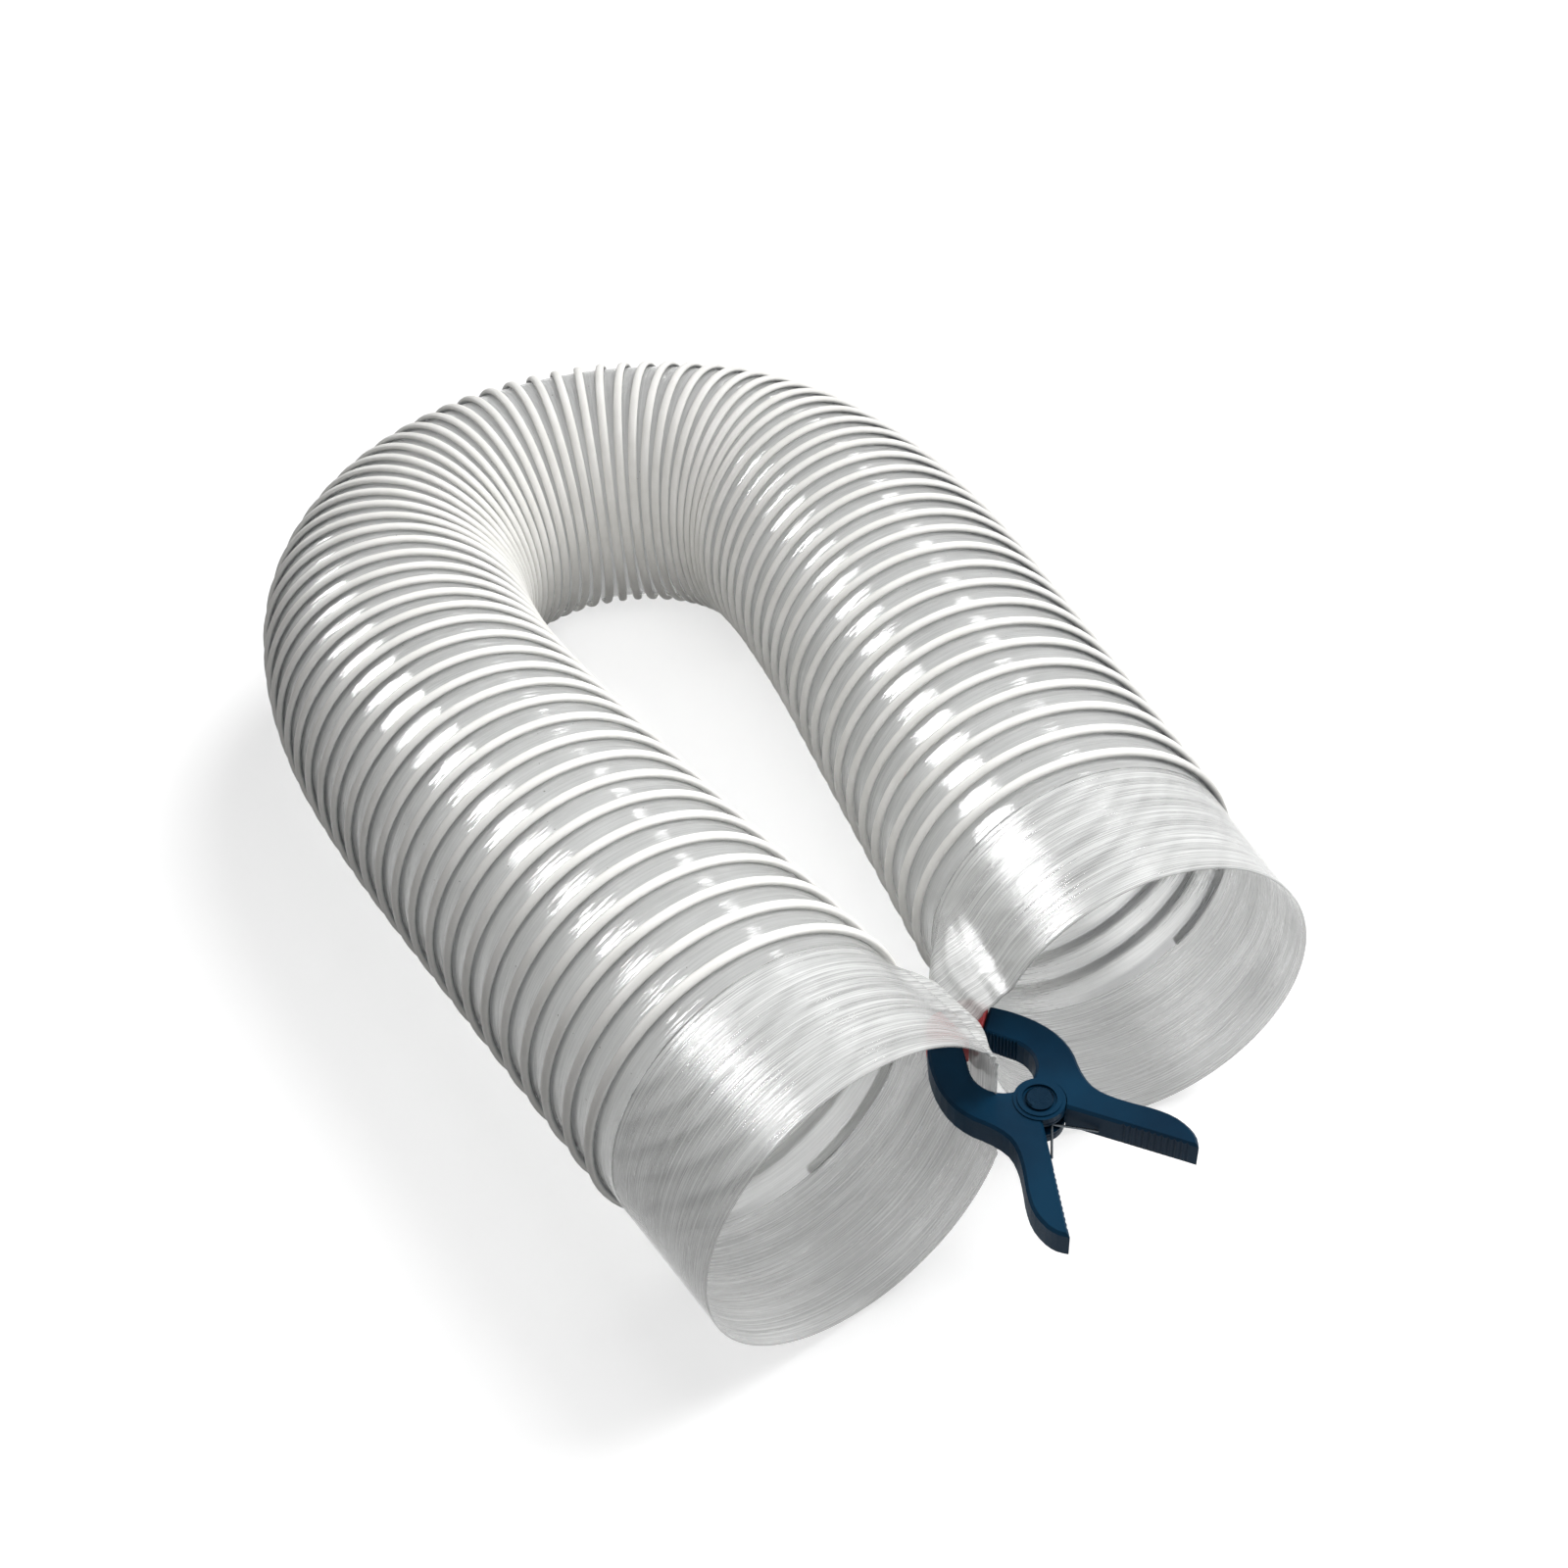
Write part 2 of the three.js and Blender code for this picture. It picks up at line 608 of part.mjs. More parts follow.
// Station on a straight end of the hose at a place along Y.
function stationAtY(y, side) {
  const end = routeAt(side < 0 ? 0 : ROUTE_LENGTH);
  const fromEnd = (y - end.y) / Math.abs(Math.sin(end.heading));
  return side < 0 ? fromEnd : ROUTE_LENGTH - fromEnd;
}

// The hose's stretches between the places where its film and helix are parted.
function hoseStretches() {
  const nearY = FLEX_CENTRE_Y - FLEX_LENGTH / 2;
  const farY = FLEX_CENTRE_Y + FLEX_LENGTH / 2;
  const bendStart = STRAIGHT_END + 2 * EASY_RUN;
  const bends = Array.from({ length: BEND_PIECES }, (_, i) => ({
    name: `bend_${i + 1}`,
    to: bendStart + (BEND_RUN * (i + 1)) / BEND_PIECES,
    ringStep: BEND_RING_STEP,
  }));
  const row = [
    { name: 'left_mouth', to: stationAtY(nearY, -1) },
    { name: 'left_flex', to: stationAtY(farY, -1) },
    { name: 'left_leg', to: bendStart },
    ...bends,
    { name: 'right_leg', to: stationAtY(farY, 1) },
    { name: 'right_flex', to: stationAtY(nearY, 1) },
    { name: 'right_mouth', to: ROUTE_LENGTH },
  ];
  return row.map((stretch, i) => ({ ringStep: RING_STEP, ...stretch, from: i === 0 ? 0 : row[i - 1].to }));
}

function hose() {
  const group = new THREE.Group();
  for (const { name, from, to, ringStep } of hoseStretches()) {
    group.add(named(`${name}_film`, filmPiece(from, to, ringStep), 'film'));
    group.add(named(`${name}_helix`, helixPiece(from, to), 'rib'));
  }
  group.add(named('left_cuff', cuff(-1), 'film'));
  group.add(named('right_cuff', cuff(1), 'film'));
  return group;
}

function clamp() {
  const group = new THREE.Group();
  group.add(named('clamp_fixed_lever', fixedLever(), 'lever'));
  group.add(named('clamp_moving_lever', movingLever(), 'lever'));
  group.add(named('clamp_fixed_pad', pad(-1), 'pad'));
  group.add(named('clamp_moving_pad', pad(1), 'pad'));
  group.add(named('clamp_pin', pin(), 'steel'));
  group.add(named('clamp_pin_ring', pinRing(), 'steel'));
  group.add(named('clamp_spring', torsionSpring(), 'steel'));
  group.position.copy(CLAMP_AT);
  group.rotation.z = CLAMP_ANGLE;
  return group;
}

// Centres the part's box over the origin, with its underside at z = 0.
function centred(group) {
  group.updateMatrixWorld(true);
  const middle = new THREE.Box3().setFromObject(group, true).getCenter(new THREE.Vector3());
  group.position.set(-middle.x, -middle.y, 0);
  return group;
}

const duct = new THREE.Group();
duct.add(hose(), clamp());
centred(duct);
console.log(`helix turns ${((HELIX.length - 1) / HOSE_FACETS).toFixed(1)}`);
console.log(`least gap between turns ${leastTurnGap().toFixed(2)} mm, in the clamp's spring ${(SPRING_PITCH - SPRING_WIRE).toFixed(2)} mm`);
console.log(`origin shift ${duct.position.x.toFixed(3)} ${duct.position.y.toFixed(3)} mm`);

export default duct;
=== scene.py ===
import math

import bmesh
import bpy
import numpy as np
from mathutils import Matrix, Vector


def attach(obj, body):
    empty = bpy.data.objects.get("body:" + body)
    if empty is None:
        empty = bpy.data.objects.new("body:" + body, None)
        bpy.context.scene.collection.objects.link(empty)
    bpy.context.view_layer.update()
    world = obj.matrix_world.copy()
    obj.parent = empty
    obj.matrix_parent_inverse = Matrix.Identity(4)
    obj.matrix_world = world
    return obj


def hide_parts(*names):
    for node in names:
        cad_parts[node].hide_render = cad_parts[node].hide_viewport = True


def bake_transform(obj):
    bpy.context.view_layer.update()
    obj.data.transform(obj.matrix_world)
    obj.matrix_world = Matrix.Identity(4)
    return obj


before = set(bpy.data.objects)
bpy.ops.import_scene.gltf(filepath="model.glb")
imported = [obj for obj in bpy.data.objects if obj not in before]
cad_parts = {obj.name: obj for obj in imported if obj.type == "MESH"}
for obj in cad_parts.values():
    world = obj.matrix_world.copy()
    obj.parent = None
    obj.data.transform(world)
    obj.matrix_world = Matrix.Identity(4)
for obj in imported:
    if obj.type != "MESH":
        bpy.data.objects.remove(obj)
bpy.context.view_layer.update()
scene = bpy.context.scene
MM = 0.001
FULL_TURN = 2 * math.pi

# ---------------------------------------------------------------- camera
CAMERA_AT = Vector((-0.2110, -0.4245, 0.4493))
AZIMUTH = math.radians(27.873)
PITCH = math.radians(41.333)
ROLL = math.radians(-4.484)
LENS = 40.57
SENSOR_WIDTH = 36
CLIP_START = 0.01


def make_camera():
    ahead = Vector((math.sin(AZIMUTH), math.cos(AZIMUTH), 0))
    level = Vector((math.cos(AZIMUTH), -math.sin(AZIMUTH), 0))
    forward = ahead * math.cos(PITCH) - Vector((0, 0, math.sin(PITCH)))
    upward = ahead * math.sin(PITCH) + Vector((0, 0, math.cos(PITCH)))
    right = level * math.cos(ROLL) + upward * math.sin(ROLL)
    up = upward * math.cos(ROLL) - level * math.sin(ROLL)
    data = bpy.data.cameras.new("camera")
    data.lens = LENS
    data.sensor_width = SENSOR_WIDTH
    data.clip_start = CLIP_START
    camera = bpy.data.objects.new("camera", data)
    turn = Matrix((right, up, -forward)).transposed().to_4x4()
    camera.matrix_world = Matrix.Translation(CAMERA_AT) @ turn
    scene.collection.objects.link(camera)
    scene.camera = camera


make_camera()

# ---------------------------------------------------------------- route of the duct, in millimetres
ORIGIN_SHIFT = np.array((-13.029, 68.400, 0.0))
BORE_RADIUS = 50
FILM_WALL = 0.8
RIB_HEIGHT = 2.4
RIB_BASE = 3
FULL_PITCH = 11.94
LEAST_TURN_GAP = 0.5
FIT_GAP = 0.3
FACETS = 12
FILM_RADIUS = BORE_RADIUS + FILM_WALL
RIB_RADIUS = FILM_RADIUS + RIB_HEIGHT
HOSE_CENTRE = RIB_RADIUS
FACET = FULL_TURN / FACETS
FIRST_ANGLE = FACET / 2 - math.pi / 2

# Each run of the route is its length and the degrees that it turns.
ROUTE_START = (-59.5, -205.3)
START_HEADING = 94.7
ROUTE = [(139, 0), (60, -4), (60, -14), (240, -161), (40, -11), (60, -7), (139, 0)]
ROUTE_LENGTH = sum(run for run, _ in ROUTE)
TABLE_STEP = 0.25
BEND_DRAW_IN = 0.28
DRAW_IN_STATION = 397
DRAW_IN_SPREAD = 95


def route_at(station):
    """x, y, heading and curvature of the route at one station."""
    x, y = ROUTE_START
    heading = math.radians(START_HEADING)
    left = station
    for i, (run, turn) in enumerate(ROUTE):
        rate = math.radians(turn) / run
        here = left if i == len(ROUTE) - 1 else min(left, run)
        following = heading + rate * here
        if rate == 0:
            x += here * math.cos(heading)
            y += here * math.sin(heading)
        else:
            x += (math.sin(following) - math.sin(heading)) / rate
            y -= (math.cos(following) - math.cos(heading)) / rate
        heading = following
        left -= here
        if left <= 0:
            return x, y, heading, -rate
    return x, y, heading, 0.0


TABLE = np.array([route_at(s) for s in np.arange(0, ROUTE_LENGTH + TABLE_STEP, TABLE_STEP)])


def width_share(station):
    """How much of its width the hose keeps, least in the bend."""
    return 1 - BEND_DRAW_IN * np.exp(-(((station - DRAW_IN_STATION) / DRAW_IN_SPREAD) ** 2))


def along_route(station):
    """x, y, heading and curvature at each station, straight on past both ends."""
    held = np.clip(station, 0, ROUTE_LENGTH)
    stations = np.arange(len(TABLE)) * TABLE_STEP
    x, y, heading, curvature = (np.interp(held, stations, column) for column in TABLE.T)
    past = station - held
    return x + past * np.cos(heading), y + past * np.sin(heading), heading, curvature


def hose_points(station, angle, radius):
    """Points of the hose; angle 0 is the inside of the bend, 90 degrees the top."""
    x, y, heading, _ = along_route(station)
    inward = radius * width_share(station) * np.cos(angle)
    return np.stack(
        [
            x + inward * np.sin(heading),
            y - inward * np.cos(heading),
            HOSE_CENTRE + radius * np.sin(angle),
        ],
        axis=-1,
    )


def length_ratio(station, angle):
    """Length along the rib's crest to length along the middle of the route."""
    curvature = along_route(station)[3]
    return 1 - curvature * RIB_RADIUS * width_share(station) * np.cos(angle)


def helix_stations():
    """Station of the rib's middle at each facet's corner, all the way along the duct."""
    stations = [RIB_BASE / 2 + FIT_GAP]
    while True:
        here = stations[-1]
        drawn_out = FULL_PITCH / length_ratio(here, math.pi)
        closed_up = (RIB_BASE + LEAST_TURN_GAP) / length_ratio(here, 0)
        following = here + max(drawn_out, closed_up) / FACETS
        if following > ROUTE_LENGTH - RIB_BASE / 2 - FIT_GAP:
            return np.array(stations)
        stations.append(following)


HELIX = helix_stations()


# ---------------------------------------------------------------- mesh helpers
def new_object(name, points, faces, smooth=True):
    mesh = bpy.data.meshes.new(name)
    mesh.from_pydata([tuple(p) for p in np.asarray(points)], [], faces)
    mesh.validate()
    bm = bmesh.new()
    bm.from_mesh(mesh)
    bmesh.ops.recalc_face_normals(bm, faces=bm.faces)
    bm.to_mesh(mesh)
    bm.free()
    if smooth:
        mesh.shade_smooth()
    obj = bpy.data.objects.new(name, mesh)
    scene.collection.objects.link(obj)
    return obj


def row_metres(points):
    """From millimetres in the route's frame to metres in the row frame."""
    return (np.asarray(points) + ORIGIN_SHIFT) * MM


def ring_angles(count):
    """Angles of a ring's points, the first at 0."""
    return np.arange(count) * FULL_TURN / count


def ring_faces(rings, count, loop=False, caps=False):
    """Faces between rings of count points; loop joins the last ring to the first."""
    faces = []
    for i in range(rings if loop else rings - 1):
        here, there = i * count, ((i + 1) % rings) * count
        for j in range(count):
            k = (j + 1) % count
            faces.append((here + j, here + k, there + k, there + j))
    if caps:
        faces.append(tuple(range(count)))
        faces.append(tuple(reversed(range((rings - 1) * count, rings * count))))
    return faces


def store(obj, name, values):
    """Vector attribute on the points, for the materials."""
    layer = obj.data.attributes.new(name, "FLOAT_VECTOR", "POINT")
    layer.data.foreach_set("vector", np.asarray(values, np.float32).ravel())


def store_level(obj, name, values):
    """One number for each point, in all three components of a vector attribute."""
    store(obj, name, np.repeat(np.reshape(values, (-1, 1)), 3, axis=1))


def duct_mark(along, angle):
    """Where a point lies, for the materials: millimetres along, and the angle's cosine and sine."""
    return np.stack([along, np.cos(angle), np.sin(angle)], -1)


# ---------------------------------------------------------------- materials
def colour(hex_code):
    parts = [int(hex_code[i : i + 2], 16) / 255 for i in (0, 2, 4)]
    linear = [c / 12.92 if c <= 0.04045 else ((c + 0.055) / 1.055) ** 2.4 for c in parts]
    return (*linear, 1)


class Nodes:
    """Adds and links the shader nodes of a material or a world."""

    def __init__(self, owner, shader="Principled BSDF"):
        owner.use_nodes = True
        self.owner = owner
        self.tree = owner.node_tree
        self.shader = self.tree.nodes[shader]

    def add(self, kind, inputs=None, **settings):
        node = self.tree.nodes.new(kind)
        for key, value in settings.items():
            setattr(node, key, value)
        for key, value in (inputs or {}).items():
            self.put(node.inputs[key], value)
        return node

    def put(self, socket, value):
        """value is a socket to link, a colour's hex code, or the socket's own value."""
        if isinstance(value, bpy.types.NodeSocket):
            self.tree.links.new(value, socket)
        else:
            socket.default_value = colour(value) if isinstance(value, str) else value

    def set(self, **values):
        for key, value in values.items():
            self.put(self.shader.inputs[key.replace("_", " ")], value)

    def math(self, operation, a, b):
        return self.add("ShaderNodeMath", {0: a, 1: b}, operation=operation).outputs[0]

    def times(self, a, b):
        return self.math("MULTIPLY", a, b)

    def plus(self, a, b):
        return self.math("ADD", a, b)

    def noise(self, place, stretch=None, scale=1.0, detail=2.0, roughness=0.5):
        if stretch:
            inputs = {0: place, 1: stretch}
            place = self.add("ShaderNodeVectorMath", inputs, operation="MULTIPLY").outputs[0]
        inputs = {"Vector": place, "Scale": scale, "Detail": detail, "Roughness": roughness}
        return self.add("ShaderNodeTexNoise", inputs).outputs["Fac"]

    def remap(self, value, from_low, from_high, to_low=0.0, to_high=1.0):
        inputs = {0: value, 1: from_low, 2: from_high, 3: to_low, 4: to_high}
        return self.add("ShaderNodeMapRange", inputs).outputs[0]

    def mix(self, factor, first, second):
        inputs = {0: factor, 6: first, 7: second}
        return self.add("ShaderNodeMix", data_type="RGBA", inputs=inputs).outputs[2]

    def place(self):
        return self.add("ShaderNodeTexCoord").outputs["Object"]

    def vector(self, name):
        return self.add("ShaderNodeAttribute", attribute_name=name).outputs["Vector"]

    def level(self, name):
        return self.add("ShaderNodeAttribute", attribute_name=name).outputs["Fac"]

    def painted_seam_shade(self, where, full, none):
        """Painted shade beside the rib between two levels of seam, most of it on the outer sides.
        """
        inward = self.add("ShaderNodeSeparateXYZ", {"Vector": where}).outputs["Y"]
        share = self.remap(inward, -0.5, 0.02, 1.0, 0.15)
        return self.times(self.remap(self.level("seam"), full, none, 1.0, 0.0), share)

    def bump(self, height, strength, distance, skin=False):
        """skin raises the clear coat too."""
        inputs = {"Height": height, "Strength": strength, "Distance": distance}
        raised = self.add("ShaderNodeBump", inputs).outputs[0]
        self.set(Normal=raised)
        if skin:
            self.set(Coat_Normal=raised)

    def seen(self):
        """1 for a ray from the camera, a reflection or a transmission, and 0 for diffuse light."""
        path = self.add("ShaderNodeLightPath").outputs
        either = self.math("MAXIMUM", path["Is Camera Ray"], path["Is Glossy Ray"])
        return self.math("MAXIMUM", either, path["Is Transmission Ray"])


def film_material():
    """Milky film that lets scattered light through, with a glossy skin, winding lines, dust and
    painted shade beside the ribs.
    """
    m = Nodes(bpy.data.materials.new("duct_film"))
    where = m.vector("duct")
    lines = m.noise(where, stretch=(0.9, 2.2, 2.2), detail=3)
    ripples = m.noise(where, stretch=(0.55, 5, 5))
    clouds = m.noise(where, stretch=(0.03, 1.4, 1.4), scale=1.3, detail=3)
    specks = m.noise(where, stretch=(0.7, 38, 38), detail=1)
    streaks = m.noise(where, stretch=(1.6, 1.2, 1.2), detail=4, roughness=0.65)
    grain = m.plus(m.times(streaks, 0.7), m.times(clouds, 0.3))
    unshaded_tone = m.mix(m.remap(grain, 0.38, 0.62), "c4c5c4", "e2e3e2")
    # Painted shade: the film darkens to grey beside each turn of the rib, most of it on the outer
    # sides.
    shaded_film = m.mix(m.painted_seam_shade(where, full=0, none=1.3), unshaded_tone, "a0a1a2")
    m.set(Base_Color=m.mix(m.remap(specks, 0.78, 0.8), shaded_film, "7b7a76"))
    m.set(Roughness=m.remap(lines, 0.3, 0.7, 0.5, 0.65), IOR=1.3, Transmission_Weight=0.65)
    m.set(Coat_Weight=1.0, Coat_Roughness=0.08, Coat_IOR=1.5)
    m.bump(m.plus(lines, m.times(ripples, 1.4)), strength=0.42, distance=0.0004, skin=True)
    return m.owner


def cuff_material():
    """Clearer film with close winding lines as streaks, dull where the clamp creases it."""
    m = Nodes(bpy.data.materials.new("cuff_film"))
    crease = m.level("crease")
    where = m.vector("duct")
    fine = m.noise(where, stretch=(2.4, 1.1, 1.1), detail=3)
    broad = m.noise(where, stretch=(0.35, 0.9, 0.9))
    ripples = m.noise(where, stretch=(0.9, 4, 4))
    patches = m.noise(where, stretch=(0.05, 1.6, 1.6), scale=1.2)
    veil = m.plus(m.plus(m.times(fine, 0.6), m.times(patches, 0.4)), m.times(broad, 0.3))
    gloss = m.remap(fine, 0.3, 0.7, 0.08, 0.2)
    m.set(Base_Color=m.mix(m.remap(fine, 0.35, 0.65), "b4b5b4", "f4f5f4"))
    m.set(Alpha=m.remap(veil, 0.5, 0.85, 0.4, 0.7))
    m.set(Roughness=m.plus(gloss, m.times(crease, 0.5)), IOR=1.5)
    m.set(Coat_Weight=m.remap(crease, 0.02, 0.3, 0.7, 0.0), Coat_Roughness=0.07, Coat_IOR=1.5)
    relief = m.plus(fine, m.times(m.plus(broad, ripples), 0.8))
    m.bump(relief, strength=0.4, distance=0.0005, skin=True)
    return m.owner


def rib_material():
    m = Nodes(bpy.data.materials.new("helix_rib"))
    where = m.vector("duct")
    tone = m.noise(where, stretch=(0.05, 2, 2), scale=1.5, detail=3)
    grain = m.noise(where, stretch=(2, 14, 14))
    unshaded_tone = m.mix(m.remap(tone, 0.35, 0.65), "efeeea", "f7f6f3")
    # Painted shade: the rib darkens to grey towards its foot, most of it on the outer sides.
    m.set(Base_Color=m.mix(m.painted_seam_shade(where, full=0.2, none=0.6), unshaded_tone, "8f9192"))
    m.set(Roughness=m.remap(grain, 0.3, 0.7, 0.42, 0.56), IOR=1.45, Specular_IOR_Level=0.15)
    m.bump(grain, strength=0.06, distance=0.0003)
    return m.owner


def moulded_material(name, dark, light, roughness, specular=0.5):
    m = Nodes(bpy.data.materials.new(name))
    place = m.place()
    tone = m.noise(place, scale=40, detail=3)
    grain = m.noise(place, scale=2600)
    m.set(Base_Color=m.mix(m.remap(tone, 0.35, 0.65), dark, light))
    m.set(Roughness=m.remap(grain, 0.3, 0.7, roughness - 0.06, roughness + 0.08))
    m.set(IOR=1.5, Specular_IOR_Level=specular)
    m.bump(grain, strength=0.12, distance=0.0002)
    return m.owner


def steel_material(name, dark, light):
    m = Nodes(bpy.data.materials.new(name))
    streaks = m.noise(m.place(), stretch=(900, 900, 9000))
    m.set(Base_Color=m.mix(streaks, dark, light), Metallic=1.0)
    m.set(Roughness=m.remap(streaks, 0.3, 0.7, 0.22, 0.36))
    return m.owner


FILM = film_material()
CUFF = cuff_material()
RIB = rib_material()
LEVER = moulded_material("clamp_body", "042439", "073048", 0.45, specular=0.1)
PAD = moulded_material("clamp_pad", "b23c40", "be5052", 0.55)
STEEL = steel_material("clamp_steel", "4a4f54", "6a7075")
BLUED = steel_material("clamp_pin_blued", "132a3d", "22394c")

# ---------------------------------------------------------------- hose
AROUND = 96
RING_STEP = 1.2
FILM_SAG = 0.15
BEAD_HALF_WIDTH = 1.7
BEAD_SHARE = 0.41           # of the pitch, where the turns close up
BEAD_LIFT = 0.02
BEAD_POINTS = 12
BEAD_STEPS = 6
BEAD_MARK = 12              # millimetres of the rib's mark for each facet
STRETCHES = ["left_mouth", "left_flex", "left_leg", *[f"bend_{i}" for i in range(1, 7)]]
STRETCHES += ["right_leg", "right_flex", "right_mouth"]


def bead_half_width(pitch):
    """Half the rib's width, less where its turns close up."""
    return np.minimum(BEAD_HALF_WIDTH, BEAD_SHARE * pitch)


def turn_phase(station, angle):
    """0 on a rib's middle, 0.5 half way to the next turn."""
    steps = np.interp(station, HELIX, np.arange(len(HELIX)))
    return np.mod((steps * FACET + FIRST_ANGLE - angle) / FULL_TURN, 1)


def from_rib(station, angle):
    """Millimetres on the film from the edge of the nearest turn of the rib."""
    phase = turn_phase(station, angle)
    pitch = np.interp(station, HELIX, np.gradient(HELIX)) * FACETS * length_ratio(station, angle)
    return np.minimum(phase, 1 - phase) * pitch - bead_half_width(pitch)


def make_film():
    count = round(ROUTE_LENGTH / RING_STEP)
    stations = np.linspace(FIT_GAP / 2, ROUTE_LENGTH - FIT_GAP / 2, count + 1)
    station, angle = np.meshgrid(stations, ring_angles(AROUND), indexing="ij")
    sag = FILM_SAG * np.sin(math.pi * turn_phase(station, angle)) ** 2
    points = hose_points(station, angle, FILM_RADIUS - sag).reshape(-1, 3)
    film = new_object("duct_film_tube", row_metres(points), ring_faces(count + 1, AROUND))
    store(film, "duct", duct_mark(station, angle))
    store_level(film, "seam", from_rib(station, angle))
    film.data.materials.append(FILM)
    return film


def make_helix():
    total = len(HELIX) - 1
    corners = np.arange(total + 1)
    steps = np.linspace(0, total, total * BEAD_STEPS + 1)
    middle = np.interp(steps, corners, HELIX)
    angle = FIRST_ANGLE + steps * FACET
    ratio = length_ratio(middle, angle)
    half_turn = FACETS / 2
    ahead, behind = (np.interp(steps + way * half_turn, corners, HELIX) for way in (1, -1))
    at_end = (steps < half_turn) | (steps > total - half_turn)
    half_width = bead_half_width((ahead - behind) * ratio * np.where(at_end, 2, 1))
    turns = ring_angles(BEAD_POINTS)
    rings = []
    for turn in turns:
        along = half_width * math.cos(turn)
        radius = FILM_RADIUS + RIB_HEIGHT / 2 * (1 + math.sin(turn)) + BEAD_LIFT
        rings.append(hose_points(middle + along / ratio, angle, radius))
    points = row_metres(np.stack(rings, axis=1).reshape(-1, 3))
    helix = new_object("duct_helix", points, ring_faces(len(steps), BEAD_POINTS, caps=True))
    store(helix, "duct", np.repeat(duct_mark(steps * BEAD_MARK, angle), BEAD_POINTS, axis=0))
    store_level(helix, "seam", np.tile((1 + np.sin(turns)) / 2, len(steps)))
    helix.data.materials.append(RIB)
    return helix


def make_hose():
    film, helix = make_film(), make_helix()
    for piece, kind, slot in ((film, "film", "duct_film"), (helix, "helix", "helix_rib")):
        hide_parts(*[f"{stretch}_{kind}" for stretch in STRETCHES])
        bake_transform(piece)


make_hose()

# ---------------------------------------------------------------- cuffs
# A cuff's side is -1 for the left one and 1 for the right one.
CUFF_LENGTH = 46
PINCH_HALF_FLAT = {-1: 10, 1: 6}
PINCH_HALF_HEIGHT = {-1: 29, 1: 20}
CLAMP_X = -1.4
PIVOT_Y = -255.5
CLAMP_RISE = 4.5
CLAMP_TURN = math.radians(4.5)
TIP_REACH = 34.4
PAD_BEYOND = 7
THROAT_REACH = 30
LIP_RELAX = 7.5             # of the left cuff's rim, away from the clamp's throat
PLEAT_DEPTH = 0.6
PLEAT_PITCH = 4
CLAMP_AT = np.array((CLAMP_X, PIVOT_Y, HOSE_CENTRE + CLAMP_RISE))
CLAMP_ACROSS = np.array((math.cos(CLAMP_TURN), math.sin(CLAMP_TURN), 0))
CLAMP_ALONG = np.array((-math.sin(CLAMP_TURN), math.cos(CLAMP_TURN), 0))
CUFF_AROUND = 320
CUFF_RINGS = 60
CUFF_THICKNESS = 0.5
CUFF_MARK = 100             # sets the two cuffs' marks apart from each other


def eased(value, low, high):
    """Smooth step from 0 at low to 1 at high."""
    t = np.clip((value - low) / (high - low), 0, 1)
    return t * t * (3 - 2 * t)


def cuff_points(side, along, angle, radius):
    """Points of a cuff with its near side drawn to the jaws, and how far each is creased."""
    x, y, heading, _ = route_at(0 if side < 0 else ROUTE_LENGTH)
    out = np.array((math.cos(heading), math.sin(heading), 0)) * (1 if side > 0 else -1)
    inward = np.array((math.sin(heading), -math.cos(heading), 0))
    end = np.array((x, y, HOSE_CENTRE))
    across = radius * np.cos(angle)
    up = radius * np.sin(angle)
    points = end + along[..., None] * out + across[..., None] * inward
    points[..., 2] += up
    film = side * (FIT_GAP / 2 + FILM_RADIUS - radius)
    shift = (film - (points - CLAMP_AT) @ CLAMP_ACROSS) / (inward @ CLAMP_ACROSS)
    pad_end = CLAMP_AT + CLAMP_ALONG * (TIP_REACH + PAD_BEYOND + FIT_GAP)
    reach = (pad_end - (end + inward * FILM_RADIUS)) @ out
    drawn = eased(along, 0, reach)
    from_pinch = np.abs(up - CLAMP_RISE)
    level = 1 - eased(from_pinch, PINCH_HALF_FLAT[side], PINCH_HALF_HEIGHT[side])
    moved = np.where(across > 0, shift * drawn * level, 0)
    crease = np.where(across > 0, drawn * level, 0)
    # 4 x (1 - x) is 1 half way out of the pinch and 0 at both ends.
    moved += PLEAT_DEPTH * np.sin(FULL_TURN * up / PLEAT_PITCH) * 4 * crease * (1 - level)
    if side < 0:
        moved -= LIP_RELAX * crease * eased(along, THROAT_REACH, CUFF_LENGTH)
    return points + moved[..., None] * inward, crease


def make_cuff(side):
    name = "left_cuff" if side < 0 else "right_cuff"
    places = np.linspace(FIT_GAP / 2, CUFF_LENGTH, CUFF_RINGS)
    along, angle = np.meshgrid(places, ring_angles(CUFF_AROUND), indexing="ij")
    radius = np.full_like(along, FILM_RADIUS)
    outside, crease = cuff_points(side, along, angle, radius)
    inside, _ = cuff_points(side, along, angle, radius - CUFF_THICKNESS)
    points = row_metres(np.concatenate([outside, inside[::-1]]).reshape(-1, 3))
    cuff = new_object(f"{name}_film", points, ring_faces(2 * CUFF_RINGS, CUFF_AROUND, loop=True))
    mark = duct_mark(along + CUFF_MARK * side, angle)
    store(cuff, "duct", np.concatenate([mark, mark[::-1]]))
    store_level(cuff, "crease", np.concatenate([crease, crease[::-1]]))
    cuff.data.materials.append(CUFF)
    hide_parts(name)
    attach(cuff, "front")


for side in (-1, 1):
    make_cuff(side)

# ---------------------------------------------------------------- clamp
HANDLE_ROOT = np.array((4.2, -6.2))
HANDLE_TIP = np.array((22.8, -37.4))
SPRING_WIRE = 0.7
SPRING_RADIUS = 3.5
SPRING_TURNS = 2            # the legs' slant takes part of a turn off
SPRING_PITCH = 1.15
SPRING_REACH = 17
SPRING_STEPS = 32
SPRING_SIDES = 10


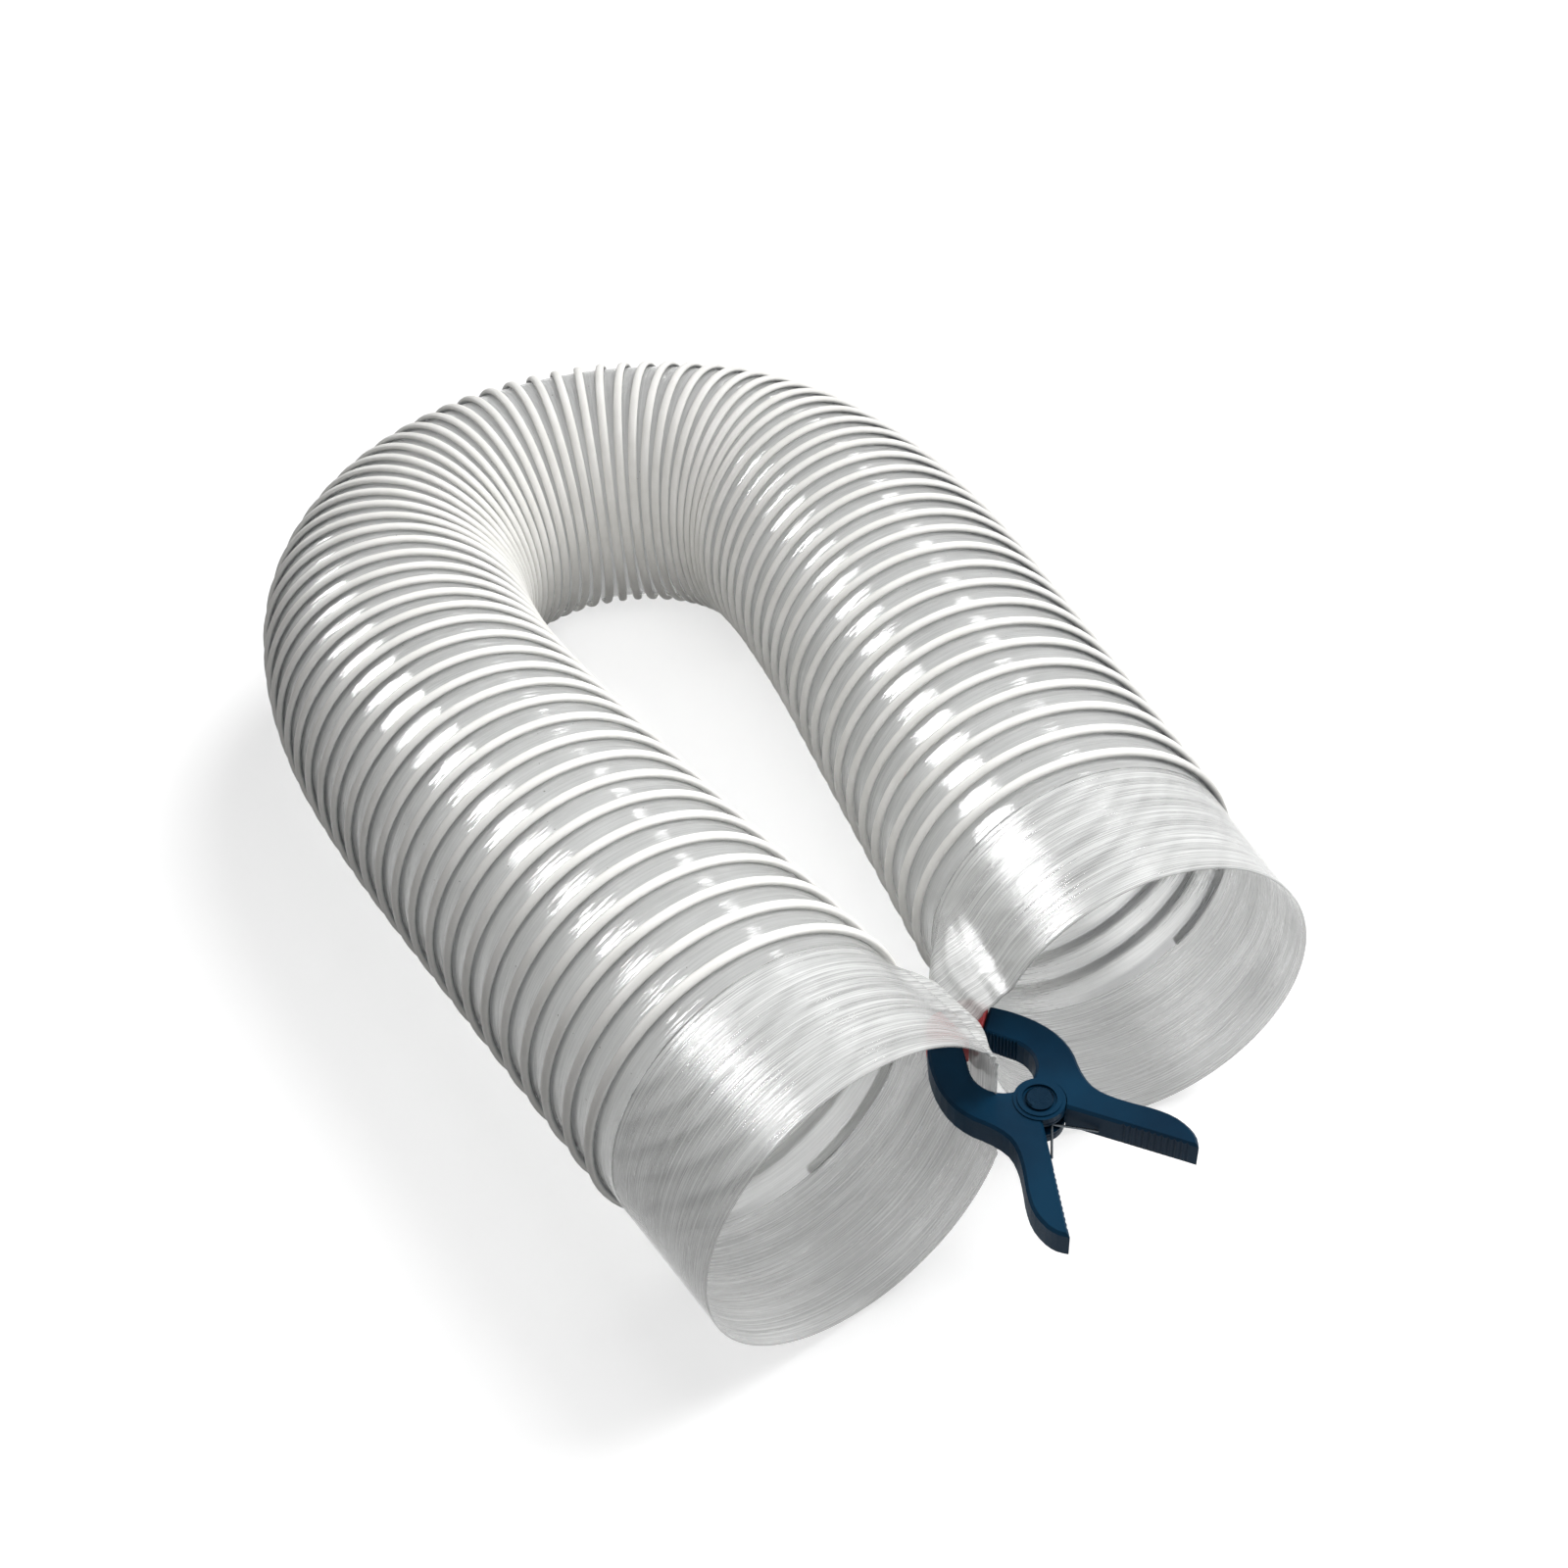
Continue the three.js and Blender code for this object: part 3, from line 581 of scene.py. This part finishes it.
def spring_path():
    """The wire's middle in the clamp's axes: a leg, the turns round the pin, the other leg."""
    along = (HANDLE_TIP - HANDLE_ROOT) / np.linalg.norm(HANDLE_TIP - HANDLE_ROOT)
    off_face = np.array((along[1], -along[0])) * (SPRING_WIRE / 2 + FIT_GAP)
    bearing = HANDLE_ROOT + along * (SPRING_REACH - np.linalg.norm(HANDLE_ROOT)) + off_face
    toward = math.atan2(bearing[1], bearing[0])
    touch = toward - math.acos(SPRING_RADIUS / np.linalg.norm(bearing))
    sweep = FULL_TURN * SPRING_TURNS + 2 * touch + math.pi
    share = np.linspace(0, 1, round(SPRING_STEPS * sweep / FULL_TURN) + 1)
    rise = SPRING_PITCH * sweep / FULL_TURN
    angle = touch - sweep * share
    turned = SPRING_RADIUS * np.cos(angle), SPRING_RADIUS * np.sin(angle), rise * (share - 0.5)
    legs = (*bearing, -rise / 2), (-bearing[0], bearing[1], rise / 2)
    return np.array([legs[0], *np.stack(turned, -1), legs[1]]), rise


def make_spring():
    """The torsion spring, which winds as the jaws open, built as one wire."""
    path, rise = spring_path()
    along = np.gradient(path, axis=0)
    along /= np.linalg.norm(along, axis=1, keepdims=True)
    across = np.stack([along[:, 1], -along[:, 0], np.zeros(len(path))], -1)
    across /= np.linalg.norm(across, axis=1, keepdims=True)
    up = np.cross(across, along)
    rings = [
        path + (across * math.cos(turn) + up * math.sin(turn)) * SPRING_WIRE / 2
        for turn in ring_angles(SPRING_SIDES)
    ]
    local = np.stack(rings, axis=1).reshape(-1, 3)
    axes = np.array((CLAMP_ACROSS, CLAMP_ALONG, (0, 0, 1)))
    faces = ring_faces(len(path), SPRING_SIDES, caps=True)
    spring = new_object("clamp_spring_wire", row_metres(CLAMP_AT + local @ axes), faces)
    spring.data.materials.append(STEEL)
    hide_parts("clamp_spring")
    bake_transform(spring)


make_spring()

for node, material in (
    ("clamp_fixed_lever", LEVER),
    ("clamp_moving_lever", LEVER),
    ("clamp_fixed_pad", PAD),
    ("clamp_moving_pad", PAD),
    ("clamp_pin", BLUED),
    ("clamp_pin_ring", LEVER),
):
    carried = bpy.data.objects[node]
    carried.data.materials.clear()
    carried.data.materials.append(material)

# ---------------------------------------------------------------- stage and light, in metres
MIDDLE = Vector((0, 0, 0.05))
SUN_AWAY = 2
FLOOR_HALF = 3.0
FLOOR_SEEN = (0.62, 0.62, 0.62, 1)
FLOOR_UNSEEN = (0.3, 0.3, 0.3, 1)   # what the floor throws back onto the duct
FLOOR_GLOW = 0.62
SOFT_LIGHT = 0.22
WHITE = (1, 1, 1, 1)


def place(name, data, toward, distance):
    """A light at a distance from the object's middle, turned to face it."""
    light = bpy.data.objects.new(name, data)
    way = Vector(toward).normalized()
    light.location = MIDDLE + way * distance
    light.rotation_mode = "QUATERNION"
    light.rotation_quaternion = way.to_track_quat("Z", "Y")
    light.visible_camera = False
    scene.collection.objects.link(light)
    return light


def soft_sun(name, toward, strength, spread):
    """Sun that spreads over some degrees of the sky and isn't mirrored."""
    data = bpy.data.lights.new(name, "SUN")
    data.energy = strength
    data.angle = math.radians(spread)
    place(name, data, toward, SUN_AWAY).visible_glossy = False


def lamp(name, toward, distance, size, watts, mirrored):
    """A mirrored lamp shows only in reflections, any other only as light."""
    data = bpy.data.lights.new(name, "AREA")
    data.size = size
    data.energy = watts
    light = place(name, data, toward, distance)
    light.visible_diffuse = light.visible_transmission = not mirrored
    light.visible_glossy = mirrored


def make_floor():
    """Floor that shows white with the object's shadow, and throws back little light."""
    half = FLOOR_HALF
    corners = [(-half, -half, 0), (half, -half, 0), (half, half, 0), (-half, half, 0)]
    floor = new_object("floor", corners, [(0, 1, 2, 3)], smooth=False)
    m = Nodes(bpy.data.materials.new("floor"))
    seen = m.seen()
    m.set(Base_Color=m.mix(seen, FLOOR_UNSEEN, FLOOR_SEEN), Roughness=1.0, Specular_IOR_Level=0.0)
    m.set(Emission_Color=WHITE, Emission_Strength=m.times(seen, FLOOR_GLOW))
    floor.data.materials.append(m.owner)


def make_world():
    """White where it is seen, and soft light from all around."""
    scene.world = bpy.data.worlds.new("studio")
    w = Nodes(scene.world, "Background")
    w.set(Color=WHITE, Strength=w.remap(w.seen(), 0, 1, SOFT_LIGHT, 1.0))


make_floor()
make_world()
soft_sun("key", toward=(0.67, 0.0, 0.74), strength=2.5, spread=33)
lamp("inner fill", toward=(0.05, -0.35, 0.94), distance=0.32, size=0.25, watts=0.5, mirrored=False)
lamp("window", toward=(-0.4, 0.75, 0.53), distance=1.8, size=0.68, watts=46, mirrored=True)
lamp("far window", toward=(0.5, 0.66, 0.56), distance=1.8, size=0.22, watts=2.6, mirrored=True)

scene.view_settings.view_transform = "Standard"
